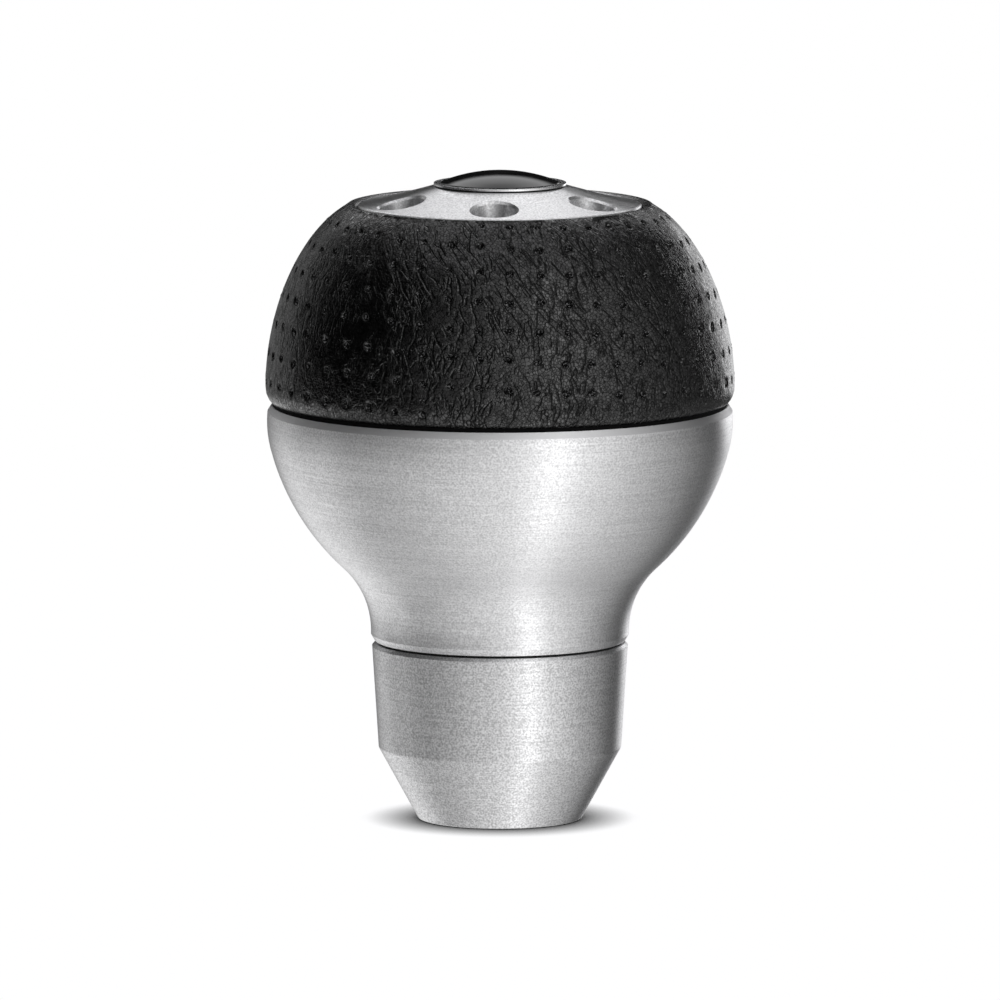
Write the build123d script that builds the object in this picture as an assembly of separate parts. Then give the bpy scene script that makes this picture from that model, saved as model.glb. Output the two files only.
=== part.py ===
# Gear shift knob: a turned aluminium body on a split lever sleeve, with a screw-down lock collar
# below and a leather covered head above, closed by a drilled ring and a domed badge.
# Millimetres, +Z up, origin on the axis at the foot of the collar.

import os
from math import asin, atan2, cos, degrees, radians, sin, sqrt

from build123d import *

# Lever and its split sleeve
lever_r = 6.0
lever_swing = 1.0
sleeve_wall = 1.2
sleeve_fit = 0.05
sleeve_slit = 1.5
sleeve_flange_w = 1.8
sleeve_flange_h = 1.2
sleeve_end_gap = 0.3

# Threaded spigot of the body, drawn at the root of its thread
spigot_wall = 2.85
spigot_len = 12.0
spigot_chamfer = 0.5
thread_depth = 0.9
thread_fit = 0.05

# Lock collar and the washer on top of it
collar_h = 19.7
collar_cone_h = 8.0
collar_foot_land = 2.1
collar_cone_wall = 2.45
collar_top_wall = 3.2
collar_floor_gap = 0.4
collar_foot_round = 0.3
collar_edge_round = 0.4
collar_top_chamfer = 0.35
collar_hole_chamfer = 0.4
washer_t = 0.3
washer_inset = 0.6
washer_fit = 0.05

# Body outline, three tangent arcs between the neck and the widest part
neck_step = 0.1
neck_chamfer_w = 0.4
neck_chamfer_h = 0.7
neck_arc = 9.7
flank_arc = 27.2
bulb_arc = 12.0
bulb_sweep = 14.5
bulb_r = 25.88
bulb_rise = 24.5
body_top_rise = 26.3
body_edge_w = 0.45
body_edge_h = 0.7

# Set screws that press the sleeve on the lever
set_screw_r = 2.45
set_screw_len = 4.0
set_screw_drop = 6.0
set_screw_bite = 0.45
set_screw_hex = 2.5
set_screw_hex_depth = 2.0
set_screw_point = 0.8
set_screw_fit = 0.05
set_screw_count = 3

# Leather cover and the core under it
leather_t = 1.2
leather_step = 0.17
leather_roll = 2.2
leather_roll_sweep = 45.0
leather_edge_round = 0.3
leather_turn_in = 3.2
leather_rise = 22.3
leather_side_pull = 9.7
leather_top_pull = 5.8
leather_top_slope = 18.1
seam_h = 0.45
seam_inset = 0.8
tuck_depth = 2.6
tuck_round = 0.8
peg_r = 2.0
peg_len = 4.0
peg_circle_r = 11.0
peg_fit = 0.1

# Top ring
ring_r = 15.8
ring_rim_drop = 0.35
ring_rim_h = 4.4
ring_rim_round = 0.35
ring_rise = 2.0
ring_crown_arc = 60.0
ring_hole_r = 2.5
ring_hole_edge = 1.1
ring_hole_count = 6
ring_hole_turn = -3.0
ring_hole_chamfer = 0.25
ring_land_w = 0.55
ring_fit = 0.05
ring_peg_r = 1.0
ring_peg_len = 1.6

# Centre screw, hidden under the badge
screw_r = 3.0
screw_bite = 6.0
screw_fit = 0.05
screw_clear = 0.4
screw_head_r = 5.25
screw_head_h = 3.3
screw_head_round = 2.0
screw_head_clear = 0.25
screw_hex = 4.0
screw_hex_depth = 2.0
screw_web = 1.5
tap_run_out = 0.3
bore_roof = 3.7

# Badge
badge_r = 6.85
badge_fit = 0.1
badge_seat_gap = 0.2
badge_floor = 0.5
badge_wall = 0.2
badge_flange_w = 0.5
badge_flange_h = 0.2
seal_w = 0.25
seal_h = 0.2
dome_rise = 1.32
dome_crown_arc = 17.5
dome_edge_round = 0.3

# Radii that follow from the fits
sleeve_r = lever_r + sleeve_wall
bore_r = sleeve_r + sleeve_fit
spigot_r = bore_r + spigot_wall
thread_r = spigot_r + thread_depth
collar_bore_r = thread_r + thread_fit
collar_hole_r = lever_r + lever_swing
collar_foot_r = collar_hole_r + collar_foot_land
collar_cone_r = collar_bore_r + collar_cone_wall
collar_top_r = collar_bore_r + collar_top_wall
neck_r = collar_top_r + neck_step
leather_r = bulb_r + leather_step
roll_x = leather_r - leather_roll
foot_r = roll_x + leather_roll * cos(radians(leather_roll_sweep))
turn_in_r = foot_r - leather_turn_in
seam_r = leather_r - seam_inset
badge_hole_r = badge_r + badge_fit
ring_hole_circle_r = ring_r - ring_hole_edge - ring_hole_r
crown_r = badge_hole_r + ring_land_w

# Heights that follow from the stack, foot to badge
shoulder_z = collar_h + washer_t
spigot_foot_z = shoulder_z - spigot_len
flange_foot_z = spigot_foot_z - sleeve_flange_h
collar_floor_z = flange_foot_z - collar_floor_gap
bulb_z = shoulder_z + bulb_rise
body_top_z = shoulder_z + body_top_rise
tap_floor_z = body_top_z - screw_bite - tap_run_out
bore_end_z = tap_floor_z - bore_roof
sleeve_top_z = bore_end_z - sleeve_end_gap
set_screw_z = shoulder_z - set_screw_drop
leather_foot_z = body_top_z + seam_h
roll_z = leather_foot_z + leather_roll * sin(radians(leather_roll_sweep))
leather_top_z = leather_foot_z + leather_rise
ring_rim_z = leather_top_z - ring_rim_drop
ring_seat_z = ring_rim_z - ring_rim_h
ring_crown_z = ring_rim_z + ring_rise
screw_seat_z = ring_seat_z + screw_web
badge_seat_z = screw_seat_z + screw_head_h + badge_seat_gap
flange_under_z = ring_crown_z + seal_h
badge_top_z = flange_under_z + badge_flange_h


def turned(edges):
    """Solid of revolution about Z from a closed profile, x being the radius."""
    return revolve(Plane.XZ * make_face(edges), Axis.Z)


def turned_points(*points):
    """Solid of revolution from a closed profile of straight lines."""
    return turned(Polyline(*points, close=True))


def post(radius, height):
    """Cylinder that stands on its own origin."""
    return Cylinder(radius, height, align=(Align.CENTER, Align.CENTER, Align.MIN))


def drum(radius, foot_z, top_z):
    """Plain cylinder on the axis between two heights."""
    return Pos(0, 0, foot_z) * post(radius, top_z - foot_z)


def rim(solid, radius, z):
    """Circular edge of a turned solid that lies nearest to a radius and height."""
    circles = solid.edges().filter_by(GeomType.CIRCLE)
    return min(circles, key=lambda edge: abs(edge.radius - radius) + abs(edge.arc_center.Z - z))


def hex_prism(across_flats, depth):
    """Hexagonal socket cutter that stands on its own origin."""
    return extrude(RegularPolygon(across_flats / 2, 6, major_radius=False), depth)


def round_the_axis(count, radius, turn=0.0):
    """Places on a circle round the axis, the first at the front."""
    return PolarLocations(radius, count, start_angle=turn - 90)


def lock_collar():
    """Internally threaded collar: cone below, slow taper above, lever hole in its floor."""
    blank = turned_points(
        (0, 0),
        (collar_foot_r, 0),
        (collar_cone_r, collar_cone_h),
        (collar_top_r, collar_h),
        (0, collar_h),
    )
    blank = fillet(rim(blank, collar_foot_r, 0), collar_foot_round)
    blank = fillet(rim(blank, collar_cone_r, collar_cone_h), collar_edge_round)
    blank = chamfer(rim(blank, collar_top_r, collar_h), collar_top_chamfer)
    collar = blank - drum(collar_bore_r, collar_floor_z, collar_h) - drum(collar_hole_r, 0, collar_h)
    return chamfer(rim(collar, collar_hole_r, 0), collar_hole_chamfer)


def collar_washer():
    """Flat black washer pressed between the collar and the body's shoulder."""
    outer_r = collar_top_r - washer_inset
    inner_r = collar_bore_r + washer_fit
    return drum(outer_r, collar_h, shoulder_z) - drum(inner_r, collar_h, shoulder_z)


def body_outline():
    """Side of the body from its shoulder to its broken edge, with the arc centres worked out from tangency."""
    sweep = radians(bulb_sweep)
    bulb_centre = (bulb_r - bulb_arc, bulb_z)
    flank_centre = (
        bulb_centre[0] - (flank_arc - bulb_arc) * cos(sweep),
        bulb_centre[1] + (flank_arc - bulb_arc) * sin(sweep),
    )
    neck_x = neck_r + neck_arc
    reach = neck_x - flank_centre[0]
    neck_centre = (neck_x, flank_centre[1] - sqrt((flank_arc + neck_arc) ** 2 - reach**2))
    turn = degrees(atan2(neck_centre[1] - flank_centre[1], reach))
    edge_rise = body_top_z - body_edge_h - bulb_z
    edge_x = bulb_centre[0] + sqrt(bulb_arc**2 - edge_rise**2)
    edge_turn = degrees(atan2(edge_rise, edge_x - bulb_centre[0]))
    side = Polyline(
        (spigot_r, shoulder_z),
        (neck_r - neck_chamfer_w, shoulder_z),
        (neck_r, shoulder_z + neck_chamfer_h),
        (neck_r, neck_centre[1]),
    )
    neck = CenterArc(neck_centre, neck_arc, 180, turn)
    flank = CenterArc(flank_centre, flank_arc, turn, -bulb_sweep - turn)
    bulb = CenterArc(bulb_centre, bulb_arc, -bulb_sweep, bulb_sweep + edge_turn)
    return [side, neck, flank, bulb], edge_x


def lower_body():
    """Turned body: threaded spigot, S-shaped side, lever bore, screw holes and peg holes."""
    side, edge_x = body_outline()
    closing = Polyline(
        (edge_x, body_top_z - body_edge_h),
        (edge_x - body_edge_w, body_top_z),
        (0, body_top_z),
        (0, spigot_foot_z),
        (spigot_r - spigot_chamfer, spigot_foot_z),
        (spigot_r, spigot_foot_z + spigot_chamfer),
        (spigot_r, shoulder_z),
    )
    body = turned(side + [closing])
    body -= drum(bore_r, spigot_foot_z, bore_end_z)
    body -= drum(screw_r + screw_fit, tap_floor_z, body_top_z)
    for place in round_the_axis(2, peg_circle_r, turn=90):
        body -= place * drum(peg_r + peg_fit, body_top_z - peg_len - peg_fit, body_top_z)
    for place in set_screw_places(0):
        body -= place * post(set_screw_r + set_screw_fit, spigot_r)
    return body


def set_screw_places(radius):
    """Planes on the spigot at the set screws, each facing outwards at a distance from the axis."""
    start = Pos(0, 0, set_screw_z)
    turns = [Rot(0, 0, index * 360 / set_screw_count - 90) for index in range(set_screw_count)]
    return [start * turn * Pos(radius, 0, 0) * Rot(0, 90, 0) for turn in turns]


def set_screw():
    """One socket set screw along +Z, its cone point at the origin."""
    blank = turned_points(
        (0, 0),
        (set_screw_r - set_screw_point, 0),
        (set_screw_r, set_screw_point),
        (set_screw_r, set_screw_len),
        (0, set_screw_len),
    )
    socket = hex_prism(set_screw_hex, set_screw_hex_depth)
    return blank - Pos(0, 0, set_screw_len - set_screw_hex_depth) * socket


def set_screws():
    """The three set screws, biting into the sleeve's dimples."""
    screw = set_screw()
    return [place * screw for place in set_screw_places(sleeve_r - set_screw_bite)]


def lever_sleeve():
    """Split plastic sleeve with a flange under the spigot and a dimple for each set screw."""
    flange_r = sleeve_r + sleeve_flange_w
    sleeve = drum(sleeve_r, flange_foot_z, sleeve_top_z) + drum(flange_r, flange_foot_z, spigot_foot_z)
    sleeve -= drum(lever_r, flange_foot_z, sleeve_top_z)
    slit_h = sleeve_top_z - flange_foot_z
    slit = Box(sleeve_slit, flange_r, slit_h, align=(Align.CENTER, Align.MIN, Align.MIN))
    sleeve -= Pos(0, 0, flange_foot_z) * slit
    dimple = turned_points(
        (0, -set_screw_fit),
        (set_screw_r - set_screw_point, -set_screw_fit),
        (set_screw_r + set_screw_fit, set_screw_point),
        (set_screw_r + set_screw_fit, set_screw_len),
        (0, set_screw_len),
    )
    for place in set_screw_places(sleeve_r - set_screw_bite):
        sleeve -= place * dimple
    return sleeve


def side_points(inward):
    """Bezier points of the head's bulging side, with each leg of their polygon moved inwards."""
    slope = radians(leather_top_slope)
    points = [
        Vector(leather_r, roll_z),
        Vector(leather_r, roll_z + leather_side_pull),
        Vector(ring_r + leather_top_pull * cos(slope), leather_top_z - leather_top_pull * sin(slope)),
        Vector(ring_r, leather_top_z),
    ]
    legs = [(after - before).normalized() for before, after in zip(points, points[1:])]
    normals = [Vector(-leg.Y, leg.X) for leg in legs]
    before_after = zip([normals[0]] + normals, normals + [normals[-1]])
    shifts = [(before + after) / (1 + before.dot(after)) for before, after in before_after]
    return [point + shift * inward for point, shift in zip(points, shifts)]


def head_outline(inward):
    """Turned-in foot, rolled edge and side of the head, at a depth below the leather's face."""
    foot_z = leather_foot_z + inward
    radius = leather_roll - inward
    sweep = asin((roll_z - foot_z) / radius)
    foot = Line((turn_in_r, foot_z), (roll_x + radius * cos(sweep), foot_z))
    roll = CenterArc((roll_x, roll_z), radius, -degrees(sweep), degrees(sweep))
    return [foot, roll, Bezier(*side_points(inward))]


def ring_pocket():
    """Half section of the room that the ring takes in the head."""
    room = Rectangle(ring_r, leather_top_z - ring_seat_z, align=(Align.MIN, Align.MIN))
    return Pos(0, ring_seat_z) * room


def leather_tuck():
    """Half section of the leather's edge, tucked down beside the ring."""
    strip = Rectangle(leather_t, tuck_depth - leather_t, align=(Align.MIN, Align.MIN))
    return Pos(ring_r, leather_top_z - tuck_depth) * strip


def leather_cover():
    """Leather shell, one piece, pulled over the core, its edges turned in above and below."""
    ends = [
        Line(side_points(0)[-1], side_points(leather_t)[-1]),
        Line((turn_in_r, leather_foot_z), (turn_in_r, leather_foot_z + leather_t)),
    ]
    skin = make_face(head_outline(0) + head_outline(leather_t) + ends)
    skin = skin - ring_pocket() + leather_tuck()
    for x, y, radius in ((ring_r, leather_top_z, tuck_round), (foot_r, leather_foot_z, leather_edge_round)):
        corner = min(skin.vertices(), key=lambda point: abs(point.X - x) + abs(point.Y - y))
        skin = fillet(corner, radius)
    return revolve(Plane.XZ * skin, Axis.Z)


def head_core():
    """Moulded core: the leather's inside form on a foot plate, with a pocket for the ring, pegs and a hole."""
    top = side_points(leather_t)[-1]
    closing = Polyline(
        top,
        (0, top.Y),
        (0, body_top_z),
        (seam_r, body_top_z),
        (seam_r, leather_foot_z),
        (turn_in_r, leather_foot_z),
        (turn_in_r, leather_foot_z + leather_t),
    )
    section = make_face(head_outline(leather_t) + [closing]) - ring_pocket() - leather_tuck()
    core = revolve(Plane.XZ * section, Axis.Z)
    for place in round_the_axis(2, peg_circle_r, turn=90):
        core += place * drum(peg_r, body_top_z - peg_len, body_top_z)
    for place in ring_peg_places():
        core += place * drum(ring_peg_r, ring_seat_z, ring_seat_z + ring_peg_len)
    return core - drum(screw_r + screw_clear, body_top_z, ring_seat_z)


def ring_peg_places():
    """Two places for the ring's locating pegs, halfway between drilled holes."""
    return round_the_axis(2, ring_hole_circle_r, turn=ring_hole_turn + 180 / ring_hole_count)


def top_ring():
    """Crowned aluminium ring with drilled holes, a flat land round the badge and a screw seat."""
    wall_r = ring_r - ring_fit
    crown = RadiusArc((wall_r, ring_rim_z), (crown_r, ring_crown_z), ring_crown_arc)
    inner = Polyline(
        (crown_r, ring_crown_z),
        (0, ring_crown_z),
        (0, ring_seat_z),
        (wall_r, ring_seat_z),
        (wall_r, ring_rim_z),
    )
    ring = turned([crown, inner])
    ring = fillet(rim(ring, wall_r, ring_rim_z), ring_rim_round)
    ring -= drum(badge_hole_r, badge_seat_z, ring_crown_z)
    ring -= drum(screw_head_r + screw_head_clear, screw_seat_z, ring_crown_z)
    ring -= drum(screw_r + screw_clear, ring_seat_z, ring_crown_z)
    for place in round_the_axis(ring_hole_count, ring_hole_circle_r, turn=ring_hole_turn):
        ring -= place * drum(ring_hole_r, ring_seat_z, ring_crown_z)
    mouths = [edge for edge in ring.edges() if edge.geom_type not in (GeomType.CIRCLE, GeomType.LINE)]
    ring = chamfer(mouths, ring_hole_chamfer)
    for place in ring_peg_places():
        ring -= place * drum(ring_peg_r + peg_fit, ring_seat_z, ring_seat_z + ring_peg_len + peg_fit)
    return ring


def centre_screw():
    """Button head screw that clamps ring, core and body, with a hexagon socket."""
    head_top_z = screw_seat_z + screw_head_h
    head = drum(screw_head_r, screw_seat_z, head_top_z)
    head = fillet(rim(head, screw_head_r, head_top_z), screw_head_round)
    shank = drum(screw_r, body_top_z - screw_bite, screw_seat_z)
    socket = Pos(0, 0, head_top_z - screw_hex_depth) * hex_prism(screw_hex, screw_hex_depth)
    return head + shank - socket


def badge_rim():
    """Thin aluminium dish that frames the dome, with a flange over the seal."""
    dish = drum(badge_r, badge_seat_z, badge_top_z)
    dish += drum(badge_r + badge_flange_w, flange_under_z, badge_top_z)
    return dish - drum(badge_r - badge_wall, badge_seat_z + badge_floor, badge_top_z)


def badge_seal():
    """Thin black seal between the ring's land and the badge's flange."""
    outer_r = badge_hole_r + seal_w
    return drum(outer_r, ring_crown_z, flange_under_z) - drum(badge_hole_r, ring_crown_z, flange_under_z)


def badge_dome():
    """Bare glossy dome that fills the dish."""
    dome_r = badge_r - badge_wall
    foot_z = badge_seat_z + badge_floor
    top_z = badge_top_z + dome_rise
    edge_z = top_z - dome_crown_arc + sqrt(dome_crown_arc**2 - dome_r**2)
    crown = RadiusArc((0, top_z), (dome_r, edge_z), dome_crown_arc)
    sides = Polyline((dome_r, edge_z), (dome_r, foot_z), (0, foot_z), (0, top_z))
    dome = turned([crown, sides])
    return fillet(rim(dome, dome_r, edge_z), dome_edge_round)


nodes = {
    "lock_collar": lock_collar(),
    "collar_washer": collar_washer(),
    "lower_body": lower_body(),
    "set_screws": Compound(children=set_screws()),
    "lever_sleeve": lever_sleeve(),
    "head_core": head_core(),
    "leather_cover": leather_cover(),
    "top_ring": top_ring(),
    "centre_screw": centre_screw(),
    "badge_seal": badge_seal(),
    "badge_rim": badge_rim(),
    "badge_dome": badge_dome(),
}

os.makedirs("parts", exist_ok=True)
for name, shape in nodes.items():
    export_step(shape, f"parts/{name}.step")
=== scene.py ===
from math import cos, pi, radians, sin

import bmesh
import bpy
import numpy as np
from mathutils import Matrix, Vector


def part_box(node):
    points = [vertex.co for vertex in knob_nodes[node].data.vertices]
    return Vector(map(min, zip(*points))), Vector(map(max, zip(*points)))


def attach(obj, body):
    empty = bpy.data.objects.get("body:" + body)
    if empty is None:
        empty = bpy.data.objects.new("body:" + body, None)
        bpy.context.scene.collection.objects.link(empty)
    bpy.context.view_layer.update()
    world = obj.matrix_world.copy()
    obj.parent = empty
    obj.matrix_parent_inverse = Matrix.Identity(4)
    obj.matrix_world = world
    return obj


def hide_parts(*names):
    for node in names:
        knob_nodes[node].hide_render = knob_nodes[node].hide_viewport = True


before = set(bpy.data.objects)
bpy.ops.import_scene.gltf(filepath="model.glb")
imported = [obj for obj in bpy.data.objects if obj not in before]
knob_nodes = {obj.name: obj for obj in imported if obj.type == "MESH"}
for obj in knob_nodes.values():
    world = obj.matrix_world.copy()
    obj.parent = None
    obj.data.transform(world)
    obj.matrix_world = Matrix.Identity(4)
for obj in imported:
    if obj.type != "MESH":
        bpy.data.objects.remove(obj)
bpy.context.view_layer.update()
mm = 0.001


# Lock collar.
# A short collar turned from aluminium bar, a steep cone at its foot and a slow taper above it.
# The cutting tool leaves fine rings, so light stretches up and down the collar and not round it.
def add_node(tree, kind, inputs=(), **settings):
    """New node in a tree; each input is a plain value, or a socket to link."""
    made = tree.nodes.new(kind)
    for name, value in settings.items():
        setattr(made, name, value)
    for key, value in dict(inputs).items():
        if isinstance(value, bpy.types.NodeSocket):
            tree.links.new(value, made.inputs[key])
        else:
            made.inputs[key].default_value = value
    return made


def sums(tree, operation, *values):
    """Result of one Math node."""
    return add_node(tree, "ShaderNodeMath", dict(enumerate(values)), operation=operation).outputs[0]


def vectors(tree, operation, *values, scale=None):
    """Result of one Vector Math node: a number for a length, distance or dot product, else a vector."""
    inputs = dict(enumerate(values))
    if scale is not None:
        inputs["Scale"] = scale
    made = add_node(tree, "ShaderNodeVectorMath", inputs, operation=operation)
    is_number = operation in ("LENGTH", "DISTANCE", "DOT_PRODUCT")
    return made.outputs["Value" if is_number else "Vector"]


def parts_of(tree, vector):
    """X, Y and Z of a vector."""
    return add_node(tree, "ShaderNodeSeparateXYZ", {0: vector}).outputs


def vector_of(tree, **parts):
    """Vector from its X, Y and Z, with 0 for each that isn't given."""
    return add_node(tree, "ShaderNodeCombineXYZ", parts).outputs[0]


def spread(tree, value, low, high, to_low=0.0, to_high=1.0):
    """A value moved from one range to another, held at both ends."""
    inputs = {"Value": value, "From Min": low, "From Max": high, "To Min": to_low, "To Max": to_high}
    return add_node(tree, "ShaderNodeMapRange", inputs).outputs["Result"]


def noise(tree, place, scale, detail=2.0, roughness=0.5):
    """Value of a noise texture, about 0.3 to 0.7."""
    inputs = {"Vector": place, "Scale": scale, "Detail": detail, "Roughness": roughness}
    return add_node(tree, "ShaderNodeTexNoise", inputs).outputs["Fac"]


def blend_colours(tree, factor, first, second):
    """Colour between two others."""
    mix = tree.nodes.new("ShaderNodeMix")
    mix.data_type = "RGBA"
    sockets = {socket.identifier: socket for socket in mix.inputs}
    tree.links.new(factor, sockets["Factor_Float"])
    for key, value in (("A_Color", first), ("B_Color", second)):
        if isinstance(value, bpy.types.NodeSocket):
            tree.links.new(value, sockets[key])
        else:
            sockets[key].default_value = value
    return next(socket for socket in mix.outputs if socket.identifier == "Result_Color")


cool_tint = 1.01


def grey(level):
    """Neutral colour of that level, a shade cool."""
    return (level, level, level * cool_tint, 1.0)


def shader_group(name, inputs, outputs):
    """Empty shader group with named sockets, with its input and output nodes."""
    tree = bpy.data.node_groups.new(name, "ShaderNodeTree")
    for label, kind in inputs:
        tree.interface.new_socket(label, in_out="INPUT", socket_type=kind)
    for label, kind in outputs:
        tree.interface.new_socket(label, in_out="OUTPUT", socket_type=kind)
    return tree, tree.nodes.new("NodeGroupInput").outputs, tree.nodes.new("NodeGroupOutput").inputs


ring_streaks = 2.0
blasted_grain = 5200.0


def make_turning_marks():
    """Marks of a lathe tool: streaks round the axis, close together along the outline, and fine grain."""
    tree, given, result = shader_group(
        "turning_marks",
        [("Coordinates", "NodeSocketVector"), ("Pitch", "NodeSocketFloat"), ("Streaks", "NodeSocketFloat")],
        [("Rings", "NodeSocketFloat"), ("Grain", "NodeSocketFloat")],
    )
    apart = parts_of(tree, given["Coordinates"])
    across = vector_of(tree, X=apart["X"], Y=apart["Y"])
    outline = sums(tree, "ADD", apart["Z"], vectors(tree, "LENGTH", across))
    lift = vector_of(tree, Z=sums(tree, "DIVIDE", outline, given["Pitch"]))
    turned = vectors(tree, "SCALE", vectors(tree, "NORMALIZE", across), scale=given["Streaks"])
    ringed = vectors(tree, "ADD", turned, lift)
    tree.links.new(noise(tree, ringed, scale=1.0, detail=3.0, roughness=0.6), result["Rings"])
    tree.links.new(noise(tree, given["Coordinates"], scale=blasted_grain, detail=0.0), result["Grain"])
    return tree


def new_material(name):
    """Material with nothing but its output, and the coordinates that its patterns read."""
    material = bpy.data.materials.new(name)
    material.use_nodes = True
    tree = material.node_tree
    tree.nodes.clear()
    place = tree.nodes.new("ShaderNodeTexCoord").outputs["Object"]
    return material, tree, tree.nodes.new("ShaderNodeOutputMaterial"), place


turning_marks = make_turning_marks()
gloss_swing = 0.05
mark_depth = 0.02 * mm
up_the_outline = 0.25
painted_highlight_cut = 0.93
cut_and_highlight_blend = 0.02 * mm
cut_dulling = 1.5


def turned_aluminium(name, dark, light, roughness, pitch, ring_share, stretch=0.9, cut_and_highlight_above=None):
    """Satin turned aluminium: a fine blasted grain over faint rings, and above a height a rougher cut edge
    with a painted highlight.
    """
    material, tree, output, place = new_material(name)
    marks = add_node(tree, "ShaderNodeGroup", {
        "Coordinates": place, "Pitch": pitch, "Streaks": ring_streaks,
    }, node_tree=turning_marks).outputs
    grained = sums(tree, "MULTIPLY", marks["Grain"], 1.0 - ring_share)
    height = sums(tree, "MULTIPLY_ADD", marks["Rings"], ring_share, grained)
    colour = blend_colours(tree, spread(tree, height, low=0.34, high=0.66), grey(dark), grey(light))
    gloss = spread(
        tree, height, low=0.35, high=0.65, to_low=roughness + gloss_swing, to_high=roughness - gloss_swing
    )
    if cut_and_highlight_above is not None:
        level = parts_of(tree, place)["Z"]
        cut = spread(tree, level, low=cut_and_highlight_above - cut_and_highlight_blend, high=cut_and_highlight_above + cut_and_highlight_blend)
        # Above the height the colour is lifted toward white as a painted highlight, and the cut is made
        # rougher.
        colour = blend_colours(tree, cut, colour, grey(painted_highlight_cut))
        dulling = spread(tree, cut, low=0.0, high=1.0, to_low=1.0, to_high=cut_dulling)
        gloss = sums(tree, "MULTIPLY", gloss, dulling)
    bump = add_node(tree, "ShaderNodeBump", {"Strength": 0.3, "Distance": mark_depth, "Height": height})
    tangent = add_node(tree, "ShaderNodeTangent", direction_type="RADIAL", axis="Z")
    metal = add_node(tree, "ShaderNodeBsdfPrincipled", {
        "Base Color": colour,
        "Metallic": 1.0,
        "Roughness": gloss,
        "Anisotropic": stretch,
        "Anisotropic Rotation": up_the_outline,
        "Normal": bump.outputs[0],
        "Tangent": tangent.outputs[0],
    })
    tree.links.new(metal.outputs[0], output.inputs["Surface"])
    return material


def finish_with(piece, material):
    """Gives a piece its one material."""
    if not piece.material_slots:
        piece.data.materials.append(material)
    for place in piece.material_slots:
        place.material = material


collar_aluminium = turned_aluminium(
    "collar_aluminium", dark=0.6, light=0.94, roughness=0.42, pitch=0.16 * mm, ring_share=0.35
)
finish_with(knob_nodes["lock_collar"], collar_aluminium)


# Threads.
# The collar is cut with an inside thread and runs up the thread of the body's spigot, 1.5 mm a turn.
# Each is one ridge wound round the axis, with its two ends run out, and the two mesh with a little room.
def geometry_group(name, inputs):
    """Empty geometry tree with named inputs, with its input and output nodes."""
    tree = bpy.data.node_groups.new(name, "GeometryNodeTree")
    for label, kind in inputs:
        tree.interface.new_socket(label, in_out="INPUT", socket_type=kind)
    tree.interface.new_socket("Geometry", in_out="OUTPUT", socket_type="NodeSocketGeometry")
    return tree, tree.nodes.new("NodeGroupInput").outputs, tree.nodes.new("NodeGroupOutput").inputs


def end_tree(tree, geometry, material, result):
    """Ends a geometry tree with real faces in one material."""
    real = add_node(tree, "GeometryNodeRealizeInstances", {"Geometry": geometry}).outputs[0]
    painted = add_node(tree, "GeometryNodeSetMaterial", {"Geometry": real, "Material": material}).outputs[0]
    tree.links.new(painted, result["Geometry"])


def grown(name, tree, values):
    """Object with the plain mesh that a geometry tree makes from these input values."""
    piece = bpy.data.objects.new(name, bpy.data.meshes.new(name))
    bpy.context.scene.collection.objects.link(piece)
    modifier = piece.modifiers.new(name, "NODES")
    modifier.node_group = tree
    for item in tree.interface.items_tree:
        if item.in_out == "INPUT":
            modifier[item.identifier] = values[item.name]
    bpy.context.view_layer.update()
    whole = piece.evaluated_get(bpy.context.evaluated_depsgraph_get())
    mesh = bpy.data.meshes.new_from_object(whole)
    piece.modifiers.clear()
    piece.data = mesh
    return piece


thread_pitch = 1.5 * mm
thread_steps = 72
thread_runout = 0.04
crest_inwards = pi / 2
crest_outwards = -pi / 2
thread_sizes = [
    ("Middle radius", "NodeSocketFloat"),
    ("Side", "NodeSocketFloat"),
    ("Pitch", "NodeSocketFloat"),
    ("Turns", "NodeSocketFloat"),
    ("Start", "NodeSocketFloat"),
    ("Root width", "NodeSocketFloat"),
    ("Crest width", "NodeSocketFloat"),
    ("Depth", "NodeSocketFloat"),
    ("Material", "NodeSocketMaterial"),
]


def make_screw_thread():
    """One ridge wound up round the axis, right handed, on the outside or the inside of a round wall."""
    tree, given, result = geometry_group("screw_thread", thread_sizes)
    spiral = add_node(tree, "GeometryNodeCurveSpiral", {
        "Resolution": thread_steps,
        "Rotations": given["Turns"],
        "Start Radius": given["Middle radius"],
        "End Radius": given["Middle radius"],
        "Height": sums(tree, "MULTIPLY", given["Pitch"], given["Turns"]),
        "Reverse": True,
    }).outputs[0]
    level = add_node(tree, "GeometryNodeSetCurveNormal", {"Curve": spiral}, mode="Z_UP").outputs[0]
    factor = add_node(tree, "GeometryNodeSplineParameter").outputs["Factor"]
    run_in = spread(tree, factor, low=0.0, high=thread_runout)
    run_out = spread(tree, factor, low=1.0, high=1.0 - thread_runout)
    form = add_node(tree, "GeometryNodeCurvePrimitiveQuadrilateral", {
        "Height": given["Depth"],
        "Bottom Width": given["Root width"],
        "Top Width": given["Crest width"],
        "Offset": 0.0,
    }, mode="TRAPEZOID").outputs[0]
    crest_out = add_node(tree, "GeometryNodeTransform", {
        "Geometry": form, "Rotation": vector_of(tree, Z=given["Side"]),
    }).outputs[0]
    ridge = add_node(tree, "GeometryNodeCurveToMesh", {
        "Curve": level,
        "Profile Curve": crest_out,
        "Scale": sums(tree, "MINIMUM", run_in, run_out),
        "Fill Caps": True,
    }).outputs[0]
    placed = add_node(tree, "GeometryNodeTransform", {
        "Geometry": ridge, "Translation": vector_of(tree, Z=given["Start"]),
    }).outputs[0]
    end_tree(tree, placed, given["Material"], result)
    return tree


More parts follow.
